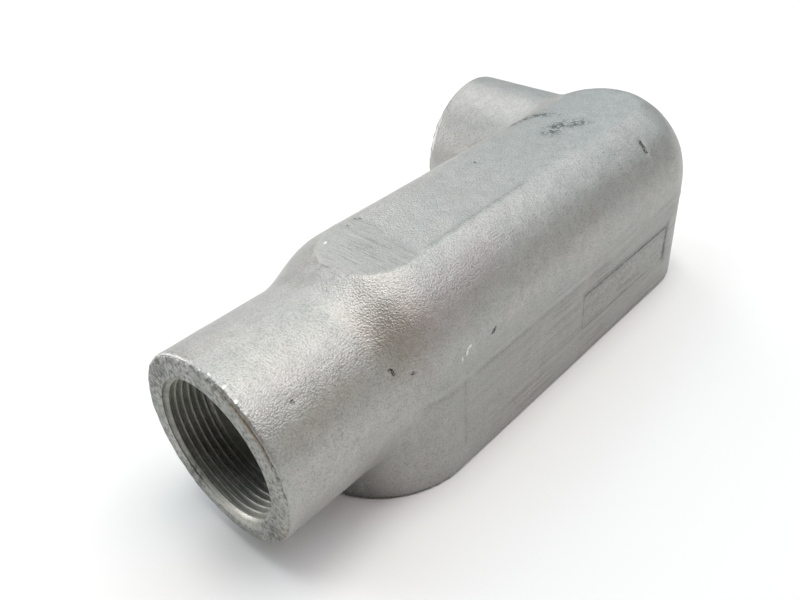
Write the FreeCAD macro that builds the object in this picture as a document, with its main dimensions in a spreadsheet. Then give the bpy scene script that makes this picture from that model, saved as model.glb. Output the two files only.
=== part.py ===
"""Right-hand (LR) angle conduit body, trade size 1 1/2: one hollow sand casting.

Frame: +Z up, the cover opening lies in the plane Z = 0 and faces down.
The end hub's mouth faces -X, the side hub's mouth faces +Y near the far end.
The origin is the bottom centre of the casting's bounding box.
"""
import FreeCAD, Part
import os
import math
import Sketcher

V = FreeCAD.Vector
doc = FreeCAD.newDocument("ConduitBody")

# ---------------------------------------------------------------- sizes (mm)
SIZES = [
    ("hub_radius", 31.0, "outside of both threaded hubs"),
    ("hub_wall", 4.2, "casting wall of the hubs past the bushing"),
    ("hub_rim_bevel", 1.0, "outer edge of each hub's mouth"),
    ("hub_root_round", 3.5, "casting fillet where a hub meets the body"),
    ("end_hub_reach", 64.8, "end hub's mouth from the near end centre"),
    ("side_hub_reach", 64.8, "side hub's mouth from the centre line"),
    ("seat_to_hub", 6.9, "cover seat up to the underside of the hubs"),
    ("hub_to_back", 4.1, "top of the hubs up to the flat back"),
    ("hub_to_cheek", 3.7, "body's side wall beyond the hub's side"),
    ("centre_spacing", 132.6, "between the centres of the two round ends"),
    ("flat_half_width", 14.2, "flat back, inside its rounded edge"),
    ("flat_edge_round", 4.0, "rounded edge of the flat back"),
    ("seat_bevel", 0.8, "outer edge of the cover seat"),
    ("wall", 4.2, "casting wall round the chamber"),
    ("back_wall", 4.5, "casting wall behind the flat back"),
    ("bore_radius", 22.3, "crest radius of the tapered pipe thread"),
    ("bore_length", 17.5, "mouth to the bushing lip"),
    ("mouth_sink", 1.2, "countersink of the bore at the mouth"),
    ("lip_height", 1.9, "bushing lip, inward from the thread's crests"),
    ("lip_bevel", 1.6, "bevel on the bushing's threaded side"),
    ("lip_land", 2.4, "straight part of the bushing"),
    ("boss_inset", 3.5, "cover screw from the chamber's end wall"),
    ("boss_radius", 5.6, "cover screw boss"),
    ("boss_under_bore", 1.1, "top of a boss below the hub passage"),
    ("boss_floor", 2.0, "metal above a tapped hole"),
    ("screw_radius", 1.95, "tapped hole for a cover screw"),
    ("pad_end_gap", 0.6, "label border short of the far end centre"),
    ("pad_length", 62.0, "label border, outside"),
    ("pad_low", 13.6, "label border above the cover seat"),
    ("pad_height", 15.8, "label border, outside"),
    ("pad_line", 1.2, "width of the label border's line"),
    ("pad_relief", 0.4, "how far the label border stands out"),
]
OVERLAP = 1.0  # how far cutting tools run past a face, and pads run into one

sheet = doc.addObject("Spreadsheet::Sheet", "Sizes")
for row, (alias, value, note) in enumerate(SIZES, start=1):
    sheet.set(f"A{row}", note)
    sheet.set(f"B{row}", str(value))
    sheet.setAlias(f"B{row}", alias)
doc.recompute()


class Dim:
    """A length that carries its value and the expression that drives it."""

    def __init__(self, value, text):
        self.value = float(value)
        self.text = text

    def _join(self, other, sign, value):
        return Dim(value, f"({self.text} {sign} {as_dim(other).text})")

    def __add__(self, other):
        return self._join(other, "+", self.value + as_dim(other).value)

    def __sub__(self, other):
        return self._join(other, "-", self.value - as_dim(other).value)

    def __mul__(self, other):
        return self._join(other, "*", self.value * as_dim(other).value)

    def __truediv__(self, other):
        return self._join(other, "/", self.value / as_dim(other).value)

    def __neg__(self):
        return Dim(-self.value, f"(0 - {self.text})")


def as_dim(number):
    return number if isinstance(number, Dim) else Dim(number, repr(float(number)))


def root(square):
    return Dim(math.sqrt(square.value), f"sqrt({square.text})")


def size(alias):
    return Dim(float(sheet.get(alias)), f"Sizes.{alias}")


ZERO = as_dim(0)
hub_radius = size("hub_radius")
spacing = size("centre_spacing")
wall = size("wall")
end_reach = size("end_hub_reach")
side_reach = size("side_hub_reach")
axis_height = size("seat_to_hub") + hub_radius
body_height = axis_height + hub_radius + size("hub_to_back")
half_width = hub_radius + size("hub_to_cheek")

# The flat back, its rounded edge and the shoulder arc are tangent in turn.
# The shoulder arc ends level with its own centre, where the walls start.
flat_half = size("flat_half_width")
edge_round = size("flat_edge_round")
edge_centre = body_height - edge_round
shoulder_reach = half_width - edge_round
shoulder_rise = root(shoulder_reach * shoulder_reach - flat_half * flat_half)
shoulder = edge_centre - shoulder_rise
tangent_x = flat_half * half_width / shoulder_reach
tangent_y = shoulder + shoulder_rise * half_width / shoulder_reach


# ------------------------------------------------------------------- sketches
body = doc.addObject("PartDesign::Body", "conduit_body")
body.Label = "conduit_body"
planes = {feature.Role: feature for feature in body.Origin.OriginFeatures}


def new_sketch(name, plane, x=ZERO, y=ZERO, z=ZERO):
    """A sketch on an origin plane, moved in its own axes by three lengths."""
    sketch = body.newObject("Sketcher::SketchObject", name)
    sketch.AttachmentSupport = (planes[plane], [""])
    sketch.MapMode = "FlatFace"
    sketch.AttachmentOffset = FreeCAD.Placement(V(x.value, y.value, z.value), FreeCAD.Rotation())
    for axis, length in (("x", x), ("y", y), ("z", z)):
        if length is not ZERO:
            sketch.setExpression(f".AttachmentOffset.Base.{axis}", length.text)
    return sketch


def hold(sketch, kind, where, length):
    """Tie one coordinate of a sketch point to a length."""
    geo, end = where
    if length is ZERO:
        axis = -2 if kind == "DistanceX" else -1
        sketch.addConstraint(Sketcher.Constraint("PointOnObject", geo, end, axis))
        return
    index = sketch.addConstraint(Sketcher.Constraint(kind, geo, end, length.value))
    sketch.setExpression(f"Constraints[{index}]", length.text)


def outline(sketch, points, arcs=None):
    """A closed outline through points; arcs maps a side's number to its centre."""
    arcs = arcs or {}
    count = len(points)
    ends = []
    for side in range(count):
        a = V(points[side][0].value, points[side][1].value, 0)
        nxt = points[(side + 1) % count]
        b = V(nxt[0].value, nxt[1].value, 0)
        if side not in arcs:
            geo = sketch.addGeometry(Part.LineSegment(a, b), False)
            ends.append(((geo, 1), (geo, 2)))
            continue
        c = V(arcs[side][0].value, arcs[side][1].value, 0)
        turns_left = (a - c).cross(b - c).z > 0
        first, last = (a, b) if turns_left else (b, a)
        start = math.atan2(first.y - c.y, first.x - c.x)
        sweep = (first - c).getAngle(last - c)
        circle = Part.Circle(c, V(0, 0, 1), (a - c).Length)
        geo = sketch.addGeometry(Part.ArcOfCircle(circle, start, start + sweep), False)
        ends.append(((geo, 1), (geo, 2)) if turns_left else ((geo, 2), (geo, 1)))
    for side in range(count):
        (geo_a, end_a), (geo_b, end_b) = ends[side][1], ends[(side + 1) % count][0]
        sketch.addConstraint(Sketcher.Constraint("Coincident", geo_a, end_a, geo_b, end_b))
    for side, (x, y) in enumerate(points):
        hold(sketch, "DistanceX", ends[side][0], x)
        hold(sketch, "DistanceY", ends[side][0], y)
    for side, (x, y) in arcs.items():
        nxt = points[(side + 1) % count]
        wide = abs(nxt[0].value - points[side][0].value)
        high = abs(nxt[1].value - points[side][1].value)
        middle = (ends[side][0][0], 3)
        if high >= wide:
            hold(sketch, "DistanceX", middle, x)
        else:
            hold(sketch, "DistanceY", middle, y)
    return sketch


def disc(sketch, x, y, radius):
    """A full circle whose centre and radius follow their lengths."""
    geo = sketch.addGeometry(Part.Circle(V(x.value, y.value, 0), V(0, 0, 1), radius.value), False)
    hold(sketch, "DistanceX", (geo, 3), x)
    hold(sketch, "DistanceY", (geo, 3), y)
    index = sketch.addConstraint(Sketcher.Constraint("Radius", geo, radius.value))
    sketch.setExpression(f"Constraints[{index}]", radius.text)
    return sketch


def extrude(kind, name, sketch, length, reverse=False):
    feature = body.newObject(f"PartDesign::{kind}", name)
    feature.Profile = sketch
    feature.Length = length.value
    feature.setExpression("Length", length.text)
    feature.Reversed = reverse
    return feature


def turn(kind, name, sketch, axis):
    feature = body.newObject(f"PartDesign::{kind}", name)
    feature.Profile = sketch
    feature.ReferenceAxis = (sketch, [axis])
    feature.Angle = 360.0
    return feature


def round_edges(name, radius, wanted):
    """Fillet every edge of the body so far that the test picks out."""
    doc.recompute()
    base = body.Tip
    names = [f"Edge{i}" for i, edge in enumerate(base.Shape.Edges, 1) if wanted(edge)]
    if not names:
        raise RuntimeError(f"{name}: no edge found")
    fillet = body.newObject("PartDesign::Fillet", name)
    fillet.Base = (base, names)
    fillet.Radius = radius.value
    fillet.setExpression("Radius", radius.text)
    return fillet


def samples(edge):
    return edge.discretize(7)


# ------------------------------------------------------------- outer casting
def outer_profile():
    """Right half of the outside section, seat to back, and its arcs by side."""
    seat_bevel = size("seat_bevel")
    points = [(half_width - seat_bevel, ZERO), (half_width, seat_bevel), (half_width, shoulder),
              (tangent_x, tangent_y), (flat_half, body_height)]
    return points, {2: (ZERO, shoulder), 3: (flat_half, edge_centre)}


def inner_profile():
    """Right half of the chamber's section, from below the seat to its ceiling."""
    radius = half_width - wall
    ceiling = body_height - size("back_wall")
    rise = ceiling - shoulder
    flat = root(radius * radius - rise * rise)
    points = [(radius, -as_dim(OVERLAP)), (radius, shoulder), (flat, ceiling)]
    return points, {1: (ZERO, shoulder)}


def full_section(name, profile):
    """The profile and its mirror image: the section of the straight part."""
    right, right_arcs = profile()
    left = [(-x, y) for x, y in reversed(right)]
    arcs = dict(right_arcs)
    for side, (x, y) in right_arcs.items():
        arcs[2 * len(right) - 2 - side] = (x if x is ZERO else -x, y)
    return outline(new_sketch(name, "YZ_Plane"), right + left, arcs)


def half_section(name, profile, x=ZERO):
    """The profile closed at the axis: the section of a round end."""
    right, arcs = profile()
    points = right + [(ZERO, right[-1][1]), (ZERO, right[0][1])]
    return outline(new_sketch(name, "XZ_Plane", x=x), points, arcs)


extrude("Pad", "Trough", full_section("TroughSection", outer_profile), spacing)
turn("Revolution", "NearEnd", half_section("NearEndSection", outer_profile), "V_Axis")
turn("Revolution", "FarEnd", half_section("FarEndSection", outer_profile, x=spacing), "V_Axis")

bevel = size("hub_rim_bevel")


def hub_profile(sketch, reach, inward):
    """Half of a hub from its axis outward, with the mouth's outer edge bevelled."""
    def at(depth):
        return depth - reach if inward > 0 else reach - depth

    points = [(at(ZERO), ZERO), (at(ZERO), hub_radius - bevel), (at(bevel), hub_radius),
              (ZERO, hub_radius), (ZERO, ZERO)]
    return outline(sketch, points)


end_hub = hub_profile(new_sketch("EndHubProfile", "XZ_Plane", y=axis_height), end_reach, 1)
turn("Revolution", "EndHub", end_hub, "H_Axis")
side_hub = hub_profile(new_sketch("SideHubProfile", "YZ_Plane", y=axis_height, z=spacing), side_reach, -1)
turn("Revolution", "SideHub", side_hub, "H_Axis")


def on_hub_and_body(edge):
    """True on the seam where a hub's cylinder enters the body."""
    for p in samples(edge):
        on_end = abs(math.hypot(p.y, p.z - axis_height.value) - hub_radius.value) < 0.01
        on_end = on_end and -end_reach.value + 5 < p.x < 0
        on_side = abs(math.hypot(p.x - spacing.value, p.z - axis_height.value) - hub_radius.value) < 0.01
        on_side = on_side and 0 < p.y < side_reach.value - 5
        if not (on_end or on_side):
            return False
    straight = edge.Curve.TypeId == "Part::GeomLine"
    return not straight


round_edges("HubRoots", size("hub_root_round"), on_hub_and_body)

# ------------------------------------------------------------------- chamber
extrude("Pocket", "Chamber", full_section("ChamberSection", inner_profile), spacing, reverse=True)
turn("Groove", "ChamberNear", half_section("ChamberNearSection", inner_profile), "V_Axis")
turn("Groove", "ChamberFar", half_section("ChamberFarSection", inner_profile, x=spacing), "V_Axis")

# ---------------------------------------------------------- bores of the hubs
bore_radius = size("bore_radius")
bore_length = size("bore_length")
sink = size("mouth_sink")
lip_radius = bore_radius - size("lip_height")
lip_bevel = size("lip_bevel")
lip_land = size("lip_land")
throat = hub_radius - size("hub_wall")


def bore_profile(sketch, reach, inward):
    """Mouth, thread bore, bushing lip and throat, from the axis outward.

    inward is +1 where the sketch's X runs into the hub and -1 where it runs out.
    """
    def at(depth):
        return depth - reach if inward > 0 else reach - depth

    flare = throat - lip_radius
    land_start = bore_length + lip_bevel
    land_end = land_start + lip_land
    points = [
        (at(-as_dim(OVERLAP)), ZERO),
        (at(-as_dim(OVERLAP)), bore_radius + sink + OVERLAP),
        (at(sink), bore_radius),
        (at(bore_length), bore_radius),
        (at(bore_length), lip_radius + lip_bevel),
        (at(land_start), lip_radius),
        (at(land_end), lip_radius),
        (at(land_end + flare), throat),
        (at(reach), throat),
        (at(reach), ZERO),
    ]
    return outline(sketch, points)


end_bore = bore_profile(new_sketch("EndBoreProfile", "XZ_Plane", y=axis_height), end_reach, 1)
turn("Groove", "EndBore", end_bore, "H_Axis")
side_bore = bore_profile(new_sketch("SideBoreProfile", "YZ_Plane", y=axis_height, z=spacing), side_reach, -1)
turn("Groove", "SideBore", side_bore, "H_Axis")

# --------------------------------------------------------- cover screw bosses
boss_offset = half_width - wall - size("boss_inset")
boss_height = size("seat_to_hub") + size("hub_wall") - size("boss_under_bore")
screw_radius = size("screw_radius")
boss_sketch = new_sketch("ScrewBossDiscs", "XY_Plane")
screw_sketch = new_sketch("ScrewHoleDiscs", "XY_Plane")
for x in (-boss_offset, spacing + boss_offset):
    disc(boss_sketch, x, ZERO, size("boss_radius"))
    disc(screw_sketch, x, ZERO, screw_radius)
extrude("Pad", "ScrewBosses", boss_sketch, boss_height)
extrude("Pocket", "ScrewHoles", screw_sketch, boss_height - size("boss_floor"), reverse=True)

# ------------------------------------------------- cast border for a label
pad_end = spacing - size("pad_end_gap")
pad_start = pad_end - size("pad_length")
pad_low = size("pad_low")
pad_line = size("pad_line")
pad_top = pad_low + size("pad_height")
border = new_sketch("LabelBorder", "XZ_Plane", z=half_width - OVERLAP)
outline(border, [(pad_start, pad_low), (pad_end, pad_low), (pad_end, pad_top), (pad_start, pad_top)])
outline(border, [(pad_start + pad_line, pad_low + pad_line), (pad_end - pad_line, pad_low + pad_line),
                 (pad_end - pad_line, pad_top - pad_line), (pad_start + pad_line, pad_top - pad_line)])
extrude("Pad", "LabelRelief", border, size("pad_relief") + OVERLAP)

# ------------------------------------------------------------------ placement
# The bounding box runs from the end hub's mouth to the round end in X, and
# from the label border to the side hub's mouth in Y.
shift_x = (end_reach - spacing - half_width) / 2
shift_y = (half_width + size("pad_relief") - side_reach) / 2
body.Placement = FreeCAD.Placement(V(shift_x.value, shift_y.value, 0), FreeCAD.Rotation())
body.setExpression(".Placement.Base.x", shift_x.text)
body.setExpression(".Placement.Base.y", shift_y.text)
doc.recompute()

# --------------------------------------------------------------------- output
for item in doc.Objects:
    if {"Invalid", "Error"} & set(item.State):
        raise RuntimeError(f"{item.Name} failed: {item.State}")
for part in (body,):
    if part.Shape.isNull() or not part.Shape.isValid() or len(part.Shape.Solids) != 1:
        raise RuntimeError(f"{part.Label} is not one valid solid")

os.makedirs("parts", exist_ok=True)
for part in (body,):
    part.Shape.exportStep(f"parts/{part.Label}.step")
    box = part.Shape.BoundBox
    print(f"{part.Label}: {part.Shape.Volume / 1000:.2f} cm3, box X {box.XMin:.2f}..{box.XMax:.2f} "
          f"Y {box.YMin:.2f}..{box.YMax:.2f} Z {box.ZMin:.2f}..{box.ZMax:.2f}, faces {len(part.Shape.Faces)}")
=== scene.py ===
"""Looks of the conduit body: a sand casting with machined mouths and pipe threads.

Lengths are in millimetres until add_object turns them into metres. The axes are the frame's, and the
origin of every shape is the centre of the near round end, in the plane of the cover seat.
"""
import bpy
import math
import numpy as np
from mathutils import Matrix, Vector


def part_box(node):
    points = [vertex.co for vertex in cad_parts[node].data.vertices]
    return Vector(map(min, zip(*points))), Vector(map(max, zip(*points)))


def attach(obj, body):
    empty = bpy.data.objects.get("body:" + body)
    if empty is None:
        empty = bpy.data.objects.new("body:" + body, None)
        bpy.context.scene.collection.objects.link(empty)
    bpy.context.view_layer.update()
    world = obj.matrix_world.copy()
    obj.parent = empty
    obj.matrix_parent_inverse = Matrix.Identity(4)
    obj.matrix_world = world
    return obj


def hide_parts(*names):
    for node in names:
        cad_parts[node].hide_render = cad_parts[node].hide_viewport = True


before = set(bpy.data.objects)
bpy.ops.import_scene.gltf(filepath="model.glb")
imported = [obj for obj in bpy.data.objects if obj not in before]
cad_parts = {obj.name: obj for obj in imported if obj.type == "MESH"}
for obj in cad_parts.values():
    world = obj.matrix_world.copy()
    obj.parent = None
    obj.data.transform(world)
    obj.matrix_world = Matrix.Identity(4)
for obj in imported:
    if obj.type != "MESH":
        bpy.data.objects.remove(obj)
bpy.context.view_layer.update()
MM = 0.001

# ------------------------------------------------------- sizes of the part, mm
HUB_R = 31.0           # outside of both hubs
HUB_WALL = 4.2         # hub wall past the bushing
AXIS_Z = 37.9          # hub axes above the seat
REACH = 64.8           # hub mouths from the near end centre and from the centre line
SPACING = 132.6        # between the centres of the round ends
HALF_WIDTH = 34.7      # outside of the cheeks
HEIGHT = 73.0          # flat back above the seat
SHOULDER_Z = 41.78     # where the cheeks turn into the shoulders
SHARP_EDGE = 1.0       # blend between a shoulder and the flat back
HUB_BLEND = 4.0        # blend at a hub's root
WALL = 4.2
BACK_WALL = 4.5
BORE_R = 22.3          # thread crests at the mouth
BORE_LENGTH = 17.5     # mouth to bushing
MOUTH_SINK = 1.2       # countersink
LIP_R = 20.4           # bushing
LIP_ROUND = 1.6
LIP_LAND = 2.4
BOSS_X = 27.0          # cover screws beyond the round ends' centres
BOSS_R = 5.6
BOSS_TOP = 10.0
SCREW_R = 1.95
SCREW_DEPTH = 8.0
SCREW_PITCH = 25.4 / 24
SCREW_THREAD = 0.5     # thread height in a screw hole
PAD = (70.0, 132.0, 13.6, 29.4)  # label border: x from, x to, z from, z to
PAD_LINE = 1.2
PAD_RELIEF = 0.4
PAD_CORNER = 1.6
THROAT_R = HUB_R - HUB_WALL

# The flat back is ground lower towards the near end.
GROUND_DEPTH = 0.5
GROUND_END = 27.0
GROUND_FADE = 20.0
# Height of the mould's parting line on the cheeks, and its ridge.
PARTING_Z = 37.6
PARTING_RISE = 0.26

# Tapered pipe thread of this trade size: 11.5 threads to the inch, 1 in 16 on the diameter.
PITCH = 25.4 / 11.5
THREAD_HEIGHT = 1.65
THREAD_LENGTH = 14.3
TAPER = 1 / 32

# Surface net of the casting: size of its cells, and how its vertices are moved onto the surface.
NET_STEP = 1.12
SETTLE_ROUNDS = 3
SETTLE_REACH = 0.7

# The near end centre on the seat plane is the origin of every shape below.
low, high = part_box("conduit_body")
ORIGIN = np.array([low[0] / MM + REACH, high[1] / MM - REACH, 0.0])


# ------------------------------------------------------------------ noise
def lattice(points, cell, seed):
    """Smooth value noise between -1 and 1 at points, with features about cell wide."""
    size = 32
    table = np.random.default_rng(seed).uniform(-1, 1, (size, size, size))
    p = points / cell
    base = np.floor(p).astype(int)
    f = p - base
    f = f * f * (3 - 2 * f)
    total = np.zeros(len(points))
    for dx in (0, 1):
        for dy in (0, 1):
            for dz in (0, 1):
                weight = (np.where(dx, f[:, 0], 1 - f[:, 0]) * np.where(dy, f[:, 1], 1 - f[:, 1])
                          * np.where(dz, f[:, 2], 1 - f[:, 2]))
                corner = (base + (dx, dy, dz)) % size
                total += weight * table[corner[:, 0], corner[:, 1], corner[:, 2]]
    return total


def ramp(value, start, end):
    """0 at start, 1 at end and straight between them; end may lie below start."""
    return np.clip((value - start) / (end - start), 0, 1)


def bell(distance, width):
    """1 at distance 0, about a third at width and next to nothing at twice the width."""
    return np.exp(-(distance / width) ** 2)


# ------------------------------------------------------- shape of the casting
def blend_min(a, b, width):
    """The smaller of two fields, rounded where they meet."""
    mix = np.clip(0.5 + 0.5 * (b - a) / width, 0, 1)
    return b * (1 - mix) + a * mix - width * mix * (1 - mix)


def blend_max(a, b, width):
    return -blend_min(-a, -b, width)


def trough(x, y, z, radius, top, edge):
    """A long body with round ends, half-round shoulders and a flat back."""
    out = np.hypot(x - np.clip(x, 0, SPACING), y)
    side = np.where(z < SHOULDER_Z, out - radius, np.hypot(out, z - SHOULDER_Z) - radius)
    return blend_max(side, z - top, edge)


def ground_height(x):
    """Height of the flat back above the seat, with the ground part."""
    return HEIGHT - GROUND_DEPTH * ramp(x, GROUND_END, GROUND_END - GROUND_FADE)


def casting_field(p):
    """Signed distance to the casting, about exact near its surface."""
    x, y, z = p[..., 0], p[..., 1], p[..., 2]
    from_end_axis = np.hypot(y, z - AXIS_Z)
    from_side_axis = np.hypot(x - SPACING, z - AXIS_Z)
    solid = trough(x, y, z, HALF_WIDTH, HEIGHT, SHARP_EDGE)
    solid = np.maximum(solid, z - ground_height(x))
    end_hub = np.maximum(blend_max(from_end_axis - HUB_R, -x - REACH + 0.3, 0.9), x)
    side_hub = np.maximum(blend_max(from_side_axis - HUB_R, y - REACH + 0.3, 0.9), -y)
    solid = blend_min(solid, end_hub, HUB_BLEND)
    solid = blend_min(solid, side_hub, HUB_BLEND)
    chamber = trough(x, y, z, HALF_WIDTH - WALL, HEIGHT - BACK_WALL, 2.0)
    passages = np.minimum(np.maximum(from_end_axis - THROAT_R, x),
                          np.maximum(from_side_axis - THROAT_R, -y))
    solid = np.maximum(blend_max(solid, -chamber, 1.2), -blend_min(passages, chamber, 2.5))
    for centre in (-BOSS_X, SPACING + BOSS_X):
        from_screw = np.hypot(x - centre, y)
        boss = blend_max(from_screw - BOSS_R, z - BOSS_TOP, 1.2)
        solid = blend_min(solid, boss, 1.6)
        solid = np.maximum(solid, -np.maximum(from_screw - SCREW_R - 0.9, z - SCREW_DEPTH))
    return np.maximum(solid, 0.3 - z)


def slope(field, p, step=0.05):
    """Gradient of a field at points, by central differences."""
    grad = np.empty_like(p)
    for axis in range(3):
        shift = np.zeros(3)
        shift[axis] = step
        grad[:, axis] = (field(p + shift) - field(p - shift)) / (2 * step)
    return grad


def surface_net(field, lowest, highest, step):
    """Quads over the zero surface of a field, by naive surface nets."""
    axes = [np.arange(lo - step * 1.5, hi + step * 1.5, step) for lo, hi in zip(lowest, highest)]
    grid = np.stack(np.meshgrid(*axes, indexing="ij"), -1)
    value = field(grid)
    inside = value < 0
    cells = tuple(n - 1 for n in value.shape)
    total = np.zeros(cells + (3,))
    hits = np.zeros(cells)
    offsets = [(a, b, c) for a in (0, 1) for b in (0, 1) for c in (0, 1)]

    def corner(array, o):
        return array[o[0]:o[0] + cells[0], o[1]:o[1] + cells[1], o[2]:o[2] + cells[2]]

    for first in offsets:
        for axis in range(3):
            if first[axis]:
                continue
            second = tuple(v + (i == axis) for i, v in enumerate(first))
            va, vb = corner(value, first), corner(value, second)
            cut = corner(inside, first) != corner(inside, second)
            t = np.where(cut, va / np.where(cut, va - vb, 1), 0)
            for i in range(3):
                total[..., i] += np.where(cut, first[i] + (t if i == axis else 0), 0)
            hits += cut
    active = hits > 0
    index = np.full(cells, -1)
    index[active] = np.arange(active.sum())
    start = np.array([a[0] for a in axes])
    verts = start + step * (np.argwhere(active) + total[active] / hits[active][:, None])
    quads = []
    for axis in range(3):
        u, v = [i for i in range(3) if i != axis]
        ahead = np.roll(inside, -1, axis)
        flip = inside != ahead
        for i in range(3):
            edge = [slice(None)] * 3
            edge[i] = slice(-1, None)
            flip[tuple(edge)] = False
            if i != axis:
                edge[i] = slice(0, 1)
                flip[tuple(edge)] = False
        where = np.argwhere(flip)
        ring = []
        for du, dv in ((1, 1), (0, 1), (0, 0), (1, 0)):
            cell = where.copy()
            cell[:, u] -= du
            cell[:, v] -= dv
            ring.append(index[cell[:, 0], cell[:, 1], cell[:, 2]])
        quad = np.stack(ring, 1)
        outward = inside[where[:, 0], where[:, 1], where[:, 2]] == (axis != 1)
        quad[~outward] = quad[~outward][:, ::-1]
        quads.append(quad)
    return verts, np.concatenate(quads)


def settle(field, verts, rounds, reach):
    """Slide vertices along the slope onto the surface, no further than reach."""
    home = verts.copy()
    for _ in range(rounds):
        grad = slope(field, verts)
        size = np.maximum((grad ** 2).sum(1), 0.2)
        verts = verts - grad * (field(verts) / size)[:, None]
        move = verts - home
        length = np.linalg.norm(move, axis=1)
        too_far = length > reach
        verts[too_far] = home[too_far] + move[too_far] * (reach / length[too_far])[:, None]
    return verts


# --------------------------------------------------------------- mesh helpers
def add_object(name, verts, faces, material):
    """A smooth object from local millimetres."""
    mesh = bpy.data.meshes.new(name)
    mesh.from_pydata(((verts + ORIGIN) * MM).tolist(), [], faces.tolist())
    mesh.update()
    mesh.shade_smooth()
    obj = bpy.data.objects.new(name, mesh)
    bpy.context.scene.collection.objects.link(obj)
    mesh.materials.append(material)
    return obj


def ring_faces(count, n):
    """Quads of a closed tube of count rings with n vertices each; the last ring meets the first."""
    k = np.arange(n)
    after = (k + 1) % n
    return np.concatenate([np.stack([i * n + k, i * n + after, (i + 1) % count * n + after,
                                     (i + 1) % count * n + k], 1) for i in range(count)])


def set_mask(obj, name, values):
    """Store one number per vertex for the material to read."""
    layer = obj.data.attributes.new(name, "FLOAT", "POINT")
    layer.data.foreach_set("value", np.asarray(values, dtype=np.float32))


# ----------------------------------------------------------------- materials
class Shader:
    """A short way to build a node material."""

    def __init__(self, name):
        self.material = bpy.data.materials.new(name)
        self.material.use_nodes = True
        self.tree = self.material.node_tree
        self.surface = self.tree.nodes["Principled BSDF"]
        self.place = self.node("ShaderNodeTexCoord").outputs["Object"]

    def node(self, kind, **values):
        made = self.tree.nodes.new(kind)
        for key, value in values.items():
            if key in made.inputs:
                self.feed(value, made.inputs[key])
            else:
                setattr(made, key, value)
        return made

    def feed(self, value, socket):
        if isinstance(value, bpy.types.NodeSocket):
            self.tree.links.new(value, socket)
        else:
            socket.default_value = value

    def noise(self, cell, detail=2.0, roughness=0.5, stretch=None, turn=0.0):
        """Noise between 0 and 1 with features about cell millimetres wide."""
        place = self.place
        if stretch:
            mapping = self.node("ShaderNodeMapping", vector_type="POINT", Vector=place)
            mapping.inputs["Scale"].default_value = stretch
            mapping.inputs["Rotation"].default_value = (0, 0, turn)
            place = mapping.outputs[0]
        made = self.node("ShaderNodeTexNoise", Vector=place)
        made.inputs["Scale"].default_value = 1 / (cell * MM)
        made.inputs["Detail"].default_value = detail
        made.inputs["Roughness"].default_value = roughness
        return made.outputs[0]

    def step(self, value, start, end, low=0.0, high=1.0):
        """A smooth ramp: low below start, high above end."""
        made = self.node("ShaderNodeMapRange", interpolation_type="SMOOTHSTEP")
        self.feed(value, made.inputs[0])
        for socket, number in zip(made.inputs[1:5], (start, end, low, high)):
            socket.default_value = number
        return made.outputs[0]

    def math(self, operation, a, b=0.0):
        made = self.node("ShaderNodeMath", operation=operation)
        self.feed(a, made.inputs[0])
        self.feed(b, made.inputs[1])
        return made.outputs[0]

    def times(self, a, b):
        return self.math("MULTIPLY", a, b)

    def mix(self, amount, a, b):
        """Colour a, going over to colour b as amount goes from 0 to 1."""
        made = self.node("ShaderNodeMix", data_type="RGBA")
        self.feed(amount, made.inputs[0])
        self.feed(a, made.inputs[6])
        self.feed(b, made.inputs[7])
        return made.outputs[2]

    def mask(self, name):
        return self.node("ShaderNodeAttribute", attribute_name=name).outputs["Fac"]

    def bump(self, height, millimetres, normal=None):
        made = self.node("ShaderNodeBump")
        made.inputs["Distance"].default_value = millimetres * MM
        made.inputs["Strength"].default_value = 1.0
        self.feed(height, made.inputs["Height"])
        if normal is not None:
            self.feed(normal, made.inputs["Normal"])
        return made.outputs[0]


def rgb(*values):
    """A colour given as screen values 0 to 255, made linear."""
    shares = [v / 255 for v in values]
    linear = [v / 12.92 if v < 0.04045 else ((v + 0.055) / 1.055) ** 2.4 for v in shares]
    return (*linear, 1.0)


# Tones of the finish and of what lies on it.
SKIN, SKIN_PALE, SKIN_CLOUD = rgb(174, 172, 169), rgb(190, 188, 185), rgb(177, 179, 176)
# The cheek tone is painted shade on the cheeks and under the end hub.
CHEEK_SHADE, CHEEK_DARK, CHEEK_PALE = rgb(142, 141, 138), rgb(124, 123, 120), rgb(186, 185, 182)
HOLLOW, GRAIN_DARK, GRAIN_PALE = rgb(112, 112, 108), rgb(122, 122, 118), rgb(214, 213, 210)
# The ridge tone is a painted highlight on the parting ridge.
RIDGE_HIGHLIGHT, BLUSH, STAIN = rgb(206, 206, 204), rgb(176, 158, 160), rgb(164, 150, 126)
# The grime tone is grime mixed with painted shade.
SCUFF, GRIME_AND_SHADE, WORN = rgb(84, 90, 88), rgb(98, 98, 94), rgb(100, 102, 98)
GROUND, GROUND_DARK, GROUND_PALE = rgb(152, 152, 148), rgb(110, 110, 104), rgb(198, 196, 190)
# The nib tone is a painted glint, and the inside tone is painted light in the chamber.
PIT, NIB_GLINT, INSIDE_PAINTED_LIGHT = rgb(42, 42, 40), rgb(226, 226, 222), rgb(208, 206, 200)
# Tones of bare machined iron and of what lies on it.
# The bright tone is a painted highlight, with painted glints and wear on the rim's edge.
BRIGHT_SHEEN_AND_WEAR, DULL, RUST = rgb(214, 212, 202), rgb(84, 84, 82), rgb(140, 118, 92)
FACE_TONE, THREAD_TONE = (163, 163, 159), (166, 164, 157)
DARK_SHARE = 0.62
CLOUD_TINT = (0.80, 0.83, 0.79)


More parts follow.
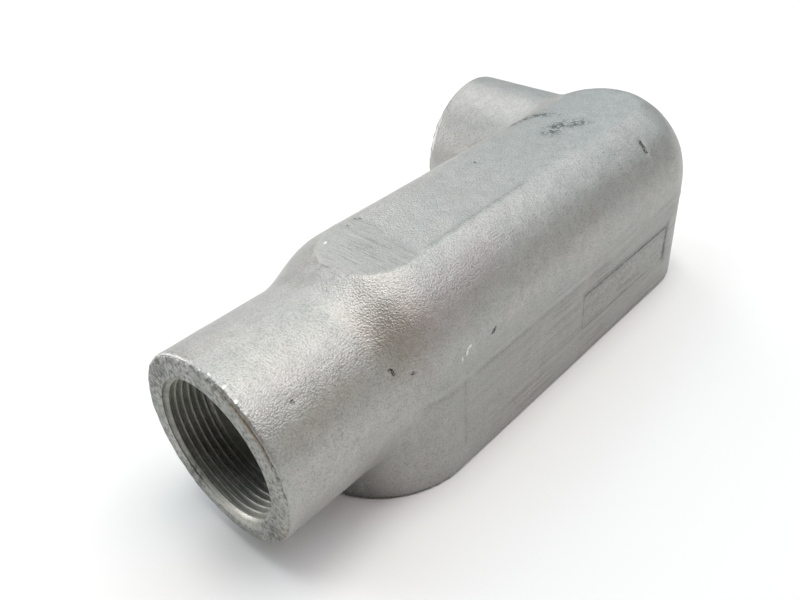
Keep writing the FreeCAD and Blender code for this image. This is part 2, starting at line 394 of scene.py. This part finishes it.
def cast_finish():
    """Matt silver protective finish over a sand-cast skin."""
    s = Shader("cast_finish")
    grain = s.noise(0.42, 3.0, 0.6)
    pebble = s.node("ShaderNodeTexVoronoi", feature="SMOOTH_F1", Vector=s.place)
    pebble.inputs["Scale"].default_value = 1 / (0.6 * MM)
    pebble.inputs["Smoothness"].default_value = 0.35
    pebble = pebble.outputs[0]
    mottle = s.noise(4.0, 4.0, 0.7)
    cloud = s.noise(26.0, 2.0, 0.5)
    colour = s.mix(s.step(mottle, 0.3, 0.7), SKIN, SKIN_PALE)
    colour = s.mix(s.step(cloud, 0.35, 0.65, 0.0, 0.5), colour, SKIN_CLOUD)

    # The cheeks and the end hub's underside are darkened with painted shade, deeper towards the far end, and the
    # cheeks have long drawn streaks.
    streak = s.noise(1.6, 3.0, 0.6, stretch=(0.03, 0.6, 1.0))
    drawn = s.mask("drawn")
    colour = s.mix(s.times(s.mask("wall"), 0.42), colour, CHEEK_SHADE)
    colour = s.mix(s.times(drawn, s.step(streak, 0.45, 0.62, 0.0, 0.6)), colour, CHEEK_DARK)
    colour = s.mix(s.times(drawn, s.step(streak, 0.3, 0.42, 0.4, 0.0)), colour, CHEEK_PALE)

    colour = s.mix(s.step(pebble, 0.45, 0.8, 0.0, 0.28), colour, HOLLOW)
    colour = s.mix(s.step(grain, 0.34, 0.5, 0.30, 0.0), colour, GRAIN_DARK)
    colour = s.mix(s.step(grain, 0.54, 0.70, 0.0, 0.3), colour, GRAIN_PALE)
    # Painted highlight along the parting ridge.
    colour = s.mix(s.times(s.mask("ridge_highlight"), 0.5), colour, RIDGE_HIGHLIGHT)
    colour = s.mix(s.times(s.mask("blush"), 0.30), colour, BLUSH)
    patchy = s.step(s.noise(1.5, 3.0, 0.6), 0.35, 0.62, 0.15, 0.45)
    colour = s.mix(s.times(s.mask("warm"), patchy), colour, STAIN)
    rubbed = s.step(s.noise(1.5, 4.0, 0.75), 0.45, 0.54)
    colour = s.mix(s.times(s.times(s.mask("scuff"), rubbed), 0.9), colour, SCUFF)
    # Grime mixed with painted shade: darker at the seat, under the end hub and along creases and raised lines.
    grime_shade_patches = s.step(s.noise(2.0, 3.0, 0.6), 0.34, 0.56, 0.2, 1.0)
    colour = s.mix(s.times(s.times(s.mask("grime_and_shade"), grime_shade_patches), 0.75), colour, GRIME_AND_SHADE)

    ground = s.mask("ground")
    scratch = s.noise(0.7, 3.0, 0.6, stretch=(1.0, 0.06, 1.0), turn=0.17)
    colour = s.mix(s.times(ground, s.step(mottle, 0.35, 0.65, 0.25, 0.6)), colour, GROUND)
    colour = s.mix(s.times(ground, s.step(scratch, 0.54, 0.70, 0.0, 0.45)), colour, GROUND_DARK)
    colour = s.mix(s.times(ground, s.step(scratch, 0.30, 0.42, 0.35, 0.0)), colour, GROUND_PALE)

    rough_label = s.step(s.noise(1.3, 3.0, 0.65), 0.42, 0.52, 0.45, 0.0)
    colour = s.mix(s.times(s.mask("worn"), rough_label), colour, WORN)
    speck = s.step(s.noise(0.8, 3.0, 0.7), 0.44, 0.60, 1.0, 0.25)
    colour = s.mix(s.times(s.step(s.mask("pit"), 0.42, 0.62), speck), colour, PIT)
    # Painted glints on the nibs.
    colour = s.mix(s.step(s.mask("nib_and_glint"), 0.4, 0.6), colour, NIB_GLINT)
    # Painted light: the chamber's inside is lightened where little light reaches it.
    colour = s.mix(s.times(s.mask("inside"), 0.8), colour, INSIDE_PAINTED_LIGHT)
    s.feed(colour, s.surface.inputs["Base Color"])
    s.surface.inputs["Metallic"].default_value = 0.7
    s.feed(s.step(grain, 0.2, 0.8, 0.36, 0.50), s.surface.inputs["Roughness"])

    # The skin's relief is calmer where it was ground, and scratches cross it there.
    relief = s.math("ADD", s.times(pebble, -0.8), grain)
    calm = s.math("SUBTRACT", 1.0, s.times(ground, 0.55))
    rough_cast = s.bump(s.times(relief, calm), 0.125)
    s.feed(s.bump(s.times(ground, scratch), 0.08, rough_cast), s.surface.inputs["Normal"])
    return s.material


def machined(name, tone, metal, spotty):
    """Bare turned iron: fine tool lines, dulled, pitted and stained."""
    s = Shader(name)
    fine = s.noise(0.6, 2.0, 0.6)
    spots = s.noise(1.3, 3.0, 0.65)
    clouds = s.noise(7.0, 3.0, 0.6)
    dark = rgb(*(v * DARK_SHARE for v in tone))
    cloudy = rgb(*(v * share for v, share in zip(tone, CLOUD_TINT)))
    colour = s.mix(s.step(spots, 0.34, 0.56, 1 - spotty, 1.0), dark, rgb(*tone))
    colour = s.mix(s.step(clouds, 0.38, 0.66, 0.0, 0.6), colour, cloudy)
    colour = s.mix(s.step(fine, 0.3, 0.5, 0.35 * spotty, 0.0), colour, dark)
    # Painted highlight on the face beside the bore's lower side, and painted glints with wear along the rim's edge.
    colour = s.mix(s.times(s.mask("sheen_and_wear"), s.step(fine, 0.3, 0.6, 0.5, 0.9)), colour, BRIGHT_SHEEN_AND_WEAR)
    colour = s.mix(s.times(s.mask("dull"), s.step(spots, 0.42, 0.58, 0.9, 0.3)), colour, DULL)
    flecks = s.step(s.noise(0.8, 4.0, 0.7), 0.42, 0.56)
    colour = s.mix(s.times(s.mask("rust"), flecks), colour, RUST)
    s.feed(colour, s.surface.inputs["Base Color"])
    s.surface.inputs["Metallic"].default_value = metal
    s.feed(s.step(spots, 0.3, 0.7, 0.58, 0.38), s.surface.inputs["Roughness"])
    tool = s.math("ADD", s.times(s.mask("turned"), 0.5), s.times(spots, 1.6))
    height = s.math("ADD", tool, s.times(fine, 0.8))
    s.feed(s.bump(height, 0.12 * spotty), s.surface.inputs["Normal"])
    return s.material


CAST = cast_finish()
FACE = machined("machined_face", FACE_TONE, metal=0.7, spotty=1.0)
THREAD = machined("cut_thread", THREAD_TONE, metal=0.35, spotty=0.35)


# ------------------------------------------------------------------- casting
def near_path(verts, path, width):
    """A bell of the distance to a line through the points of a path."""
    path = np.array(path, dtype=float)
    best = np.full(len(verts), 1e9)
    for a, b in zip(path[:-1], path[1:]):
        t = np.clip((verts - a) @ (b - a) / max((b - a) @ (b - a), 1e-9), 0, 1)
        best = np.minimum(best, np.linalg.norm(verts - a - t[:, None] * (b - a), axis=1))
    return bell(best, width)


# Marks of this one casting: points, and paths with a width and sometimes a strength.
PITS = [(10, 13.5, 72.6), (4.5, 13, 72.6), (-51.5, -22, 59.7), (-21.5, -27.8, 52.4),
        (-16, -30.4, 49.6), (17, -34.4, 46.5), (62, 7.5, 73)]
# Nibs are raised points that also carry painted glints.
NIBS = [(5.2, -34.2, 47.8), (1.0, -34.5, 45.4), (3.6, -34.4, 46.4), (-63.4, -6, 68.2), (-63.2, -11, 66.9),
        (-63.4, -15.5, 64.7), (-63, -30.2, 37.6), (-63.3, -18.5, 62.7), (-7, 11.2, 72.5)]
GOUGE = [(120.8, -24.2, 66.7), (120.7, -27.1, 63.4)]
SCUFFS = [([(96, 16.5, 72), (107, 13.8, 72.7), (112, 7.4, 73)], 1.5),
          ([(97, 0.5, 73), (104, 0.8, 73), (111, -3.5, 73)], 3.0)]
STAINS = [([(-16.5, -24.5, 60.5), (-15, -27.5, 56)], 7.0, 1.0),
          ([(-36, -26, 55), (-44, -25.5, 55.5), (-56, -27.5, 52.5)], 4.5, 0.5)]
BLUSH_PATH = [(-9, -28, 60), (4, -27, 63.5), (24, -25.5, 65)]
# Lines that get painted shade and grime; the tangent line also dips.
CREASE = [(10, -14.6, 72.9), (60, -14.6, 73)]
TANGENT_LINE = [(2.3, -HALF_WIDTH, 10), (2.3, -HALF_WIDTH, 36)]
LABEL_END = [(PAD[1] + 0.3, -HALF_WIDTH, PAD[2] - 1), (PAD[1] + 0.3, -HALF_WIDTH, PAD[3] + 1)]
LABEL_TOP = [(PAD[0], -HALF_WIDTH, PAD[3] + 0.3), (PAD[1], -HALF_WIDTH, PAD[3] + 0.3)]


def make_casting():
    """The cast surface, with its unevenness, seams and marks."""
    lowest = (-REACH, -HALF_WIDTH, 0)
    highest = (SPACING + HALF_WIDTH, REACH, HEIGHT)
    verts, quads = surface_net(casting_field, lowest, highest, NET_STEP)
    verts = settle(casting_field, verts, SETTLE_ROUNDS, SETTLE_REACH)
    normal = slope(casting_field, verts)
    normal /= np.maximum(np.linalg.norm(normal, axis=1), 1e-6)[:, None]
    x, y, z = verts.T

    # Unevenness of the sand mould, which dies out at the seat, the mouths and the ground patch.
    swell = 0.10 * lattice(verts, 13.0, 1) + 0.07 * lattice(verts, 5.5, 2) + 0.04 * lattice(verts, 2.9, 3) - 0.08
    swell *= ramp(z, 0.5, 3.0)
    swell *= np.maximum(ramp(x, 0.3 - REACH, 2.3 - REACH), 0.2) * np.maximum(ramp(y, REACH - 0.3, REACH - 2.3), 0.2)
    edge = 10 + 0.17 * y + 1.5 * lattice(verts, 6.0, 7)
    ground = (np.abs(z - ground_height(x)) < 0.04) * ramp(x, edge, edge - 2.5) * ramp(y, 20, 14)
    swell *= 1 - 0.9 * ground

    # Seam along the end hub's top, and the mould's parting ridge.
    outward = np.hypot(y, z - AXIS_Z) > THROAT_R + 1.5
    seam = bell(y - 1.0, 0.8) * ramp(x, -12, -16) * (z > AXIS_Z + HUB_R - 3)
    swell += 0.16 * seam * (0.8 + 0.6 * lattice(verts, 4.0, 4))
    joint = z - PARTING_Z - 0.5 * lattice(verts, 16.0, 8)
    parting = bell(joint, 1.0) * (0.6 + 0.4 * lattice(verts, 7.0, 9))
    swell += PARTING_RISE * parting * outward
    swell -= 0.07 * near_path(verts, TANGENT_LINE, 0.8)

    # Pits, nibs, the gouge and the rough label field.
    stroke = np.random.default_rng(31).uniform(-1.1, 1.1, (len(PITS), 3))
    pit = sum(near_path(verts, [p - d, p + d], 0.8) for p, d in zip(np.array(PITS), stroke))
    gouge = near_path(verts, GOUGE, 1.0)
    nib_and_glint = sum(near_path(verts, [p, p], 0.85) for p in NIBS)
    x0, x1, z0, z1 = PAD
    label = ramp(x, x0, x0 + 3) * ramp(x, x1, x1 - 3) * ramp(z, z0, z0 + 3) * ramp(z, z1, z1 - 2)
    label *= y < -HALF_WIDTH + 1
    swell += 0.16 * label * lattice(verts, 2.3, 12)
    swell += -0.3 * pit - 0.5 * gouge + 0.15 * nib_and_glint
    verts = verts + normal * swell[:, None]
    obj = add_object("casting", verts, quads, CAST)

    warm = sum(strength * near_path(verts, path, width) for path, width, strength in STAINS)
    set_mask(obj, "warm", np.clip(warm, 0, 1))
    set_mask(obj, "blush", near_path(verts, BLUSH_PATH, 7.0))
    scuff = sum(near_path(verts, path, width) for path, width in SCUFFS)
    set_mask(obj, "scuff", np.clip(scuff * 1.3, 0, 1))

    # Darker along the seat, painted shade under the end hub's root, and painted shade mixed with grime along the
    # lines of the casting.
    grime_and_shade = bell(z, 2.0) * 0.35 + 0.8 * bell(np.hypot(x + 34, z - 4), 9)
    grime_and_shade += 0.55 * near_path(verts, CREASE, 0.9)
    grime_and_shade += 0.9 * near_path(verts, LABEL_END, 1.1)
    grime_and_shade += 0.5 * near_path(verts, LABEL_TOP, 1.2)
    grime_and_shade += (0.36 + 0.3 * lattice(verts, 4.0, 17)) * near_path(verts, TANGENT_LINE, 0.7)
    # Painted shade just below the parting ridge.
    below_joint = bell(joint + 1.9, 1.3) * outward * ramp(x, -18, -6) * ramp(x, 95, 65)
    grime_and_shade += (0.42 + 0.3 * lattice(verts, 5.0, 15)) * below_joint
    set_mask(obj, "grime_and_shade", np.clip(grime_and_shade, 0, 1))

    set_mask(obj, "ground", ground)
    along_top = bell(z - z1 + 1.5, 3.5) * (0.6 + 0.4 * lattice(verts, 6.0, 13))
    set_mask(obj, "worn", label * np.clip(0.45 + along_top, 0, 1))
    # Painted light inside the chamber.
    set_mask(obj, "inside", trough(x, y, z, HALF_WIDTH - 1.5, HEIGHT - 1.5, 2.0) < 0)
    # Painted shade on the cheeks, deeper towards the far end, and under the end hub.
    flank = bell(trough(x, y, z, HALF_WIDTH, HEIGHT, SHARP_EDGE), 1.5)
    flank *= ramp(z, SHOULDER_Z + 6, SHOULDER_Z - 4) * (0.85 + 0.5 * ramp(x, SPACING, SPACING + 20))
    under_hub = ramp(z, AXIS_Z - 2, AXIS_Z - 16) * ramp(x, 8 - HALF_WIDTH, -HALF_WIDTH) * outward
    set_mask(obj, "wall", np.maximum(flank, under_hub))
    broken = np.clip(0.55 + 0.45 * lattice(verts, 9.0, 14), 0, 1)
    set_mask(obj, "drawn", flank * ramp(x, 2, 32) * broken)
    # Painted highlight along the parting ridge.
    ridge_sheen = (0.7 + 0.5 * lattice(verts, 4.5, 16)) * outward * ramp(x, -30, -18) * ramp(x, 110, 70)
    set_mask(obj, "ridge_highlight", parting * ridge_sheen)
    set_mask(obj, "pit", np.clip(pit + gouge, 0, 1))
    # Painted glints on the nibs.
    set_mask(obj, "nib_and_glint", np.clip(nib_and_glint, 0, 1))
    return obj


# ------------------------------------------------------ mouths with threads
RING_TOOL = 0.45  # distance between the tool's lines on a mouth
SEAT_TOOL = 0.9   # and on the seat
THREAD_RINGS = 11  # rings of vertices in one turn of a pipe thread
SCREW_RINGS = 8    # and of a screw thread
CHIPS = 90         # uneven places round the rim of a mouth


def lathe(profile, turns, place):
    """Turn a list of (depth, radius or function of angle) round an axis into a closed piece.

    Gives the placed vertices, the faces, and the vertices as (depth, across, up) before placing.
    """
    angle = np.linspace(0, 2 * np.pi, turns, endpoint=False)
    rings = []
    for depth, radius in profile:
        r = radius(angle) if callable(radius) else np.full(turns, float(radius))
        rings.append(np.stack([np.full(turns, float(depth)), r * np.cos(angle), r * np.sin(angle)], 1))
    verts = np.concatenate(rings)
    return place(verts), ring_faces(len(rings), turns), verts


def end_place(v):
    return np.stack([v[:, 0] - REACH, v[:, 1], v[:, 2] + AXIS_Z], 1)


def side_place(v):
    return np.stack([v[:, 1] + SPACING, REACH - v[:, 0], v[:, 2] + AXIS_Z], 1)


def vee(turns):
    """How deep a vee thread is cut, 0 to 1, after a number of turns."""
    return ramp(np.abs(2 * (turns % 1.0) - 1), 0.10, 0.88)


def thread_radius(depth, angle, start, hand):
    """Bore wall radius: a right-hand taper thread that fades out at its end."""
    crest = BORE_R - TAPER * depth
    cut = vee(depth / PITCH - hand * (angle - start) / (2 * np.pi))
    fade = ramp(depth, THREAD_LENGTH, THREAD_LENGTH - 0.8 * PITCH)
    return np.maximum(crest + THREAD_HEIGHT * cut * fade, BORE_R + MOUTH_SINK - depth)


def make_mouth(name, place, start, hand, turns, seed):
    """Machined ring, countersink, thread, bushing lip and flare of one hub."""
    wander = np.random.default_rng(seed)
    chips = wander.uniform(-1, 1, CHIPS) - 0.8 * (wander.uniform(0, 1, CHIPS) > 0.85)

    def ragged(base, amount):
        def radius(angle):
            t = angle / (2 * np.pi) * CHIPS
            i = np.floor(t).astype(int)
            f = t - i
            f = f * f * (3 - 2 * f)
            return base + amount * (chips[i % CHIPS] * (1 - f) + chips[(i + 1) % CHIPS] * f)
        return radius

    profile = [(0.9, THROAT_R + 0.5), (0.9, ragged(HUB_R - 0.9, 0.12)), (0.3, ragged(HUB_R - 0.55, 0.18)),
               (0.06, ragged(HUB_R - 0.9, 0.32)), (0.0, ragged(HUB_R - 1.3, 0.42))]
    for r in np.linspace(HUB_R - 1.9, BORE_R + MOUTH_SINK + 0.3, 12):
        profile.append((0.0, r))
    face_rings = len(profile)
    depth = 0.0
    step = PITCH / THREAD_RINGS
    while depth < THREAD_LENGTH + 0.3:
        profile.append((depth, lambda a, d=depth: thread_radius(d, a, start, hand)))
        depth += step
    end = BORE_R - TAPER * THREAD_LENGTH
    profile += [(THREAD_LENGTH + 0.6, end), (BORE_LENGTH - 0.3, end), (BORE_LENGTH, end - 0.3)]
    for t in np.linspace(0, np.pi / 2, 7):
        profile.append((BORE_LENGTH + LIP_ROUND * (1 - math.cos(t)), LIP_R + LIP_ROUND * (1 - math.sin(t))))
    land = BORE_LENGTH + LIP_ROUND + LIP_LAND
    flare = THROAT_R - LIP_R
    for t in np.linspace(0, 1, 9):
        profile.append((land + flare * t, LIP_R + flare * (0.35 * t + 0.65 * t * t)))
    profile.append((land + flare, THROAT_R + 0.5))
    verts, faces, flat = lathe(profile, turns, place)
    if hand < 0:
        faces = faces[:, ::-1]
    obj = add_object(name, verts, faces, THREAD)
    obj.data.materials.append(FACE)
    on_face = np.repeat(np.arange(len(profile)) < face_rings, turns)
    obj.data.polygons.foreach_set("material_index", on_face.astype(np.int32))
    depth, across, up = flat.T
    radius = np.hypot(across, up)
    angle = np.arctan2(up, across)

    def arc(middle, width):
        """A bell round an angle of the ring, in degrees."""
        return bell(np.angle(np.exp(1j * (angle - math.radians(middle)))), math.radians(width))

    set_mask(obj, "turned", np.sin(radius * 2 * np.pi / RING_TOOL) * (depth < 0.1))
    edge = bell(radius - HUB_R + 1, 1.4)
    set_mask(obj, "rust", np.clip((arc(132, 20) + 0.5 * arc(205, 12)) * edge, 0, 1))
    inner = ramp(radius, 27.3, 25.8) * ramp(depth, 2.2, 1.6)
    # Painted highlight near the bore's lower side, and painted glints with wear on the rim's edge.
    set_mask(obj, "sheen_and_wear", np.clip(0.9 * arc(262, 26) * inner + 0.35 * arc(180, 40) * edge, 0, 1))
    dull = 1.4 * arc(308, 9) + 0.8 * arc(220, 12) + 0.8 * arc(42, 24)
    dull += (0.6 * arc(345, 14) + 0.75 * arc(138, 42)) * edge
    set_mask(obj, "dull", np.clip(dull * (depth < 1.0), 0, 1))
    return obj


# ------------------------------------------------------------- cover seat
def seat_lines(verts):
    """Tool lines straight across whatever lies in the seat plane."""
    return np.sin(verts[:, 0] * 2 * np.pi / SEAT_TOOL) * (verts[:, 2] < 0.05)


def make_seat():
    """Machined obround seat round the opening."""
    count = 96
    loops = []
    inner, outer = HALF_WIDTH - WALL, HALF_WIDTH
    for radius, z in ((inner - 0.02, 0.9), (inner + 0.25, 0.12), (inner + 0.6, 0.0), (outer - 1.5, 0.0),
                      (outer - 0.9, 0.0), (outer - 0.35, 0.35), (outer - 0.3, 0.9)):
        turn = np.linspace(-np.pi / 2, np.pi / 2, count)
        far = np.stack([SPACING + radius * np.cos(turn), radius * np.sin(turn)], 1)
        near = np.stack([-radius * np.cos(turn), -radius * np.sin(turn)], 1)
        loop = np.concatenate([far, near])
        loops.append(np.column_stack([loop, np.full(len(loop), z)]))
    verts = np.concatenate(loops)
    obj = add_object("cover_seat", verts, ring_faces(len(loops), 2 * count)[:, ::-1], FACE)
    set_mask(obj, "turned", seat_lines(verts))
    return obj


def make_screw_hole(name, centre):
    """Machined boss face with a tapped hole."""
    profile = [(0.9, BOSS_R - 0.2), (0.3, BOSS_R - 0.2), (0.03, BOSS_R - 0.5)]
    for r in np.linspace(BOSS_R - 1.2, SCREW_R + 0.75, 4):
        profile.append((0.03, r))
    depth = 0.03
    while depth < SCREW_DEPTH - 1:
        def radius(angle, d=depth):
            cut = vee(d / SCREW_PITCH + angle / (2 * np.pi))
            return np.maximum(SCREW_R + SCREW_THREAD * cut, SCREW_R + 0.6 - d)
        profile.append((depth, radius))
        depth += SCREW_PITCH / SCREW_RINGS
    profile += [(SCREW_DEPTH - 0.9, SCREW_R), (SCREW_DEPTH - 0.5, SCREW_R), (SCREW_DEPTH, 0.02),
                (SCREW_DEPTH + 0.6, 0.02), (SCREW_DEPTH + 0.6, SCREW_R + 1.2), (0.9, SCREW_R + 1.2)]

    def place(v):
        return np.stack([v[:, 1] + centre, v[:, 2], v[:, 0]], 1)

    verts, faces, _ = lathe(profile, 48, place)
    obj = add_object(name, verts, faces, FACE)
    set_mask(obj, "turned", seat_lines(verts))
    return obj


# -------------------------------------------------------------- label border
def make_border():
    """Low cast border of a bare label field on the cheek."""
    x0, x1, z0, z1 = PAD
    path = []
    for cx, cz, start in ((x1 - PAD_CORNER, z1 - PAD_CORNER, 0), (x0 + PAD_CORNER, z1 - PAD_CORNER, 90),
                          (x0 + PAD_CORNER, z0 + PAD_CORNER, 180), (x1 - PAD_CORNER, z0 + PAD_CORNER, 270)):
        for a in np.radians(np.linspace(start, start + 90, 7)):
            nx, nz = math.cos(a), math.sin(a)
            path.append((cx + PAD_CORNER * nx, cz + PAD_CORNER * nz, nx, nz))
    dense = []
    for a, b in zip(np.array(path), np.array(path[1:] + path[:1])):
        steps = max(1, int(math.hypot(b[0] - a[0], b[1] - a[1]) / 0.7))
        dense += [a + (b - a) * (i / steps) for i in range(steps)]
    dense = np.array(dense)
    loops = []
    for out, rise in ((-PAD_LINE - 0.3, -0.5), (-PAD_LINE, 0.05), (-PAD_LINE * 0.72, PAD_RELIEF * 0.85),
                      (-PAD_LINE * 0.4, PAD_RELIEF), (-PAD_LINE * 0.15, PAD_RELIEF * 0.7), (0.1, -0.05), (0.4, -0.5)):
        x = dense[:, 0] + out * dense[:, 2]
        z = dense[:, 1] + out * dense[:, 3]
        loops.append(np.stack([x, np.full(len(x), -HALF_WIDTH - rise), z], 1))
    verts = np.concatenate(loops)

    # The line is worn low, least at its far end and along its top.
    at_end = bell(verts[:, 0] - x1, 2.0)
    at_top = bell(verts[:, 2] - z1, 1.2)
    worn = 0.5 + 0.5 * lattice(verts, 5.0, 21)
    faint = 1 - np.maximum(at_end, at_top)
    verts[:, 1] += np.where(verts[:, 1] < -HALF_WIDTH, 0.2 * worn + 0.24 * faint, 0)
    obj = add_object("label_border", verts, ring_faces(len(loops), len(dense)), CAST)
    # Painted shadow with grime beside the border's far end and top.
    set_mask(obj, "grime_and_shade", np.clip(np.maximum(at_end, at_top * 0.5) + 0.2, 0, 1))
    # Painted shade of the cheeks over the whole border.
    set_mask(obj, "wall", np.ones(len(verts)))
    set_mask(obj, "drawn", np.full(len(verts), 0.6))
    return obj


# -------------------------------------------------------------------- pieces
casting = make_casting()
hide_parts("conduit_body")
pieces = [casting,
          make_mouth("end_hub_mouth", end_place, math.radians(310), 1, 360, 5),
          make_mouth("side_hub_mouth", side_place, math.radians(40), -1, 300, 6),
          make_seat(), make_screw_hole("cover_screw_hole_near", -BOSS_X),
          make_screw_hole("cover_screw_hole_far", SPACING + BOSS_X), make_border()]
for piece in pieces:
    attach(piece, "root")

# ------------------------------------------------------------ floor and light
FLOOR_HALF = 3.0      # metres
FLOOR_DROP = 0.0002   # metres, so that floor and seat don't share a plane
PAPER = (0.88, 0.88, 0.88, 1)
WORLD_LIGHT = 0.03
SOFTNESS = 29         # degrees across a lamp, as seen from the part
floor_mesh = bpy.data.meshes.new("floor")
corners = [(x * FLOOR_HALF, y * FLOOR_HALF, -FLOOR_DROP) for x, y in ((-1, -1), (1, -1), (1, 1), (-1, 1))]
floor_mesh.from_pydata(corners, [], [(0, 1, 2, 3)])
floor = bpy.data.objects.new("floor", floor_mesh)
bpy.context.scene.collection.objects.link(floor)
paper = Shader("paper")
paper.surface.inputs["Base Color"].default_value = PAPER
paper.surface.inputs["Roughness"].default_value = 0.9
floor_mesh.materials.append(paper.material)

# The world is white to the camera and nearly dark as a light.
world = bpy.data.worlds.new("studio")
bpy.context.scene.world = world
world.use_nodes = True
backdrop = world.node_tree.nodes["Background"]
backdrop.inputs[0].default_value = (1, 1, 1, 1)
seen = world.node_tree.nodes.new("ShaderNodeLightPath").outputs["Is Camera Ray"]
strength = world.node_tree.nodes.new("ShaderNodeMapRange")
world.node_tree.links.new(seen, strength.inputs[0])
strength.inputs[3].default_value = WORLD_LIGHT
world.node_tree.links.new(strength.outputs[0], backdrop.inputs[1])
bpy.context.scene.view_settings.view_transform = "Standard"


def soft_light(name, azimuth, elevation, strength, colour=(1, 1, 1)):
    """A far wide lamp, as even as a large softbox; azimuth in degrees from +X, elevation from the floor."""
    data = bpy.data.lights.new(name, "SUN")
    data.angle = math.radians(SOFTNESS)
    data.energy = strength
    data.color = colour
    obj = bpy.data.objects.new(name, data)
    obj.rotation_euler = (0, math.radians(90 - elevation), math.radians(azimuth))
    bpy.context.scene.collection.objects.link(obj)


soft_light("overhead", 0, 88, 1.35, (1.0, 1.0, 0.95))
soft_light("key", 300, 60, 0.7, (1.0, 0.9, 0.95))
soft_light("front", 345, 60, 0.35, (1.0, 0.9, 0.8))
soft_light("right", 337, 35, 0.45, (0.7, 0.9, 1.0))
soft_light("far", 22, 35, 0.4, (0.7, 0.9, 1.0))
soft_light("back", 62, 40, 0.6)
soft_light("left", 120, 60, 0.5, (0.8, 0.9, 1.0))
soft_light("low", 115, 12, 1.6)
soft_light("near", 292, 35, 0.2, (1.0, 0.9, 0.7))
soft_light("rim", 60, 12, 0.2)

# -------------------------------------------------------------------- camera
CAMERA_PLACE = (-0.18924, -0.16257, 0.19615)  # metres
CAMERA_TURN = (-45.434, 35.571, -4.030)       # degrees: turn, tilt, roll
LENS = 35.77                                  # millimetres, on a sensor 36 wide
turn, tilt, roll = (math.radians(a) for a in CAMERA_TURN)
back = np.array([math.sin(turn) * math.cos(tilt), -math.cos(turn) * math.cos(tilt), math.sin(tilt)])
right = np.cross((0, 0, 1), back)
right /= np.linalg.norm(right)
up = np.cross(back, right)
view = np.eye(4)
view[:3, 0] = math.cos(roll) * right + math.sin(roll) * up
view[:3, 1] = -math.sin(roll) * right + math.cos(roll) * up
view[:3, 2] = back
view[:3, 3] = CAMERA_PLACE
lens = bpy.data.cameras.new("camera")
lens.lens = LENS
lens.sensor_width = 36
lens.clip_start = 0.01
camera = bpy.data.objects.new("camera", lens)
camera.matrix_world = Matrix(view.tolist())
bpy.context.scene.collection.objects.link(camera)
bpy.context.scene.camera = camera
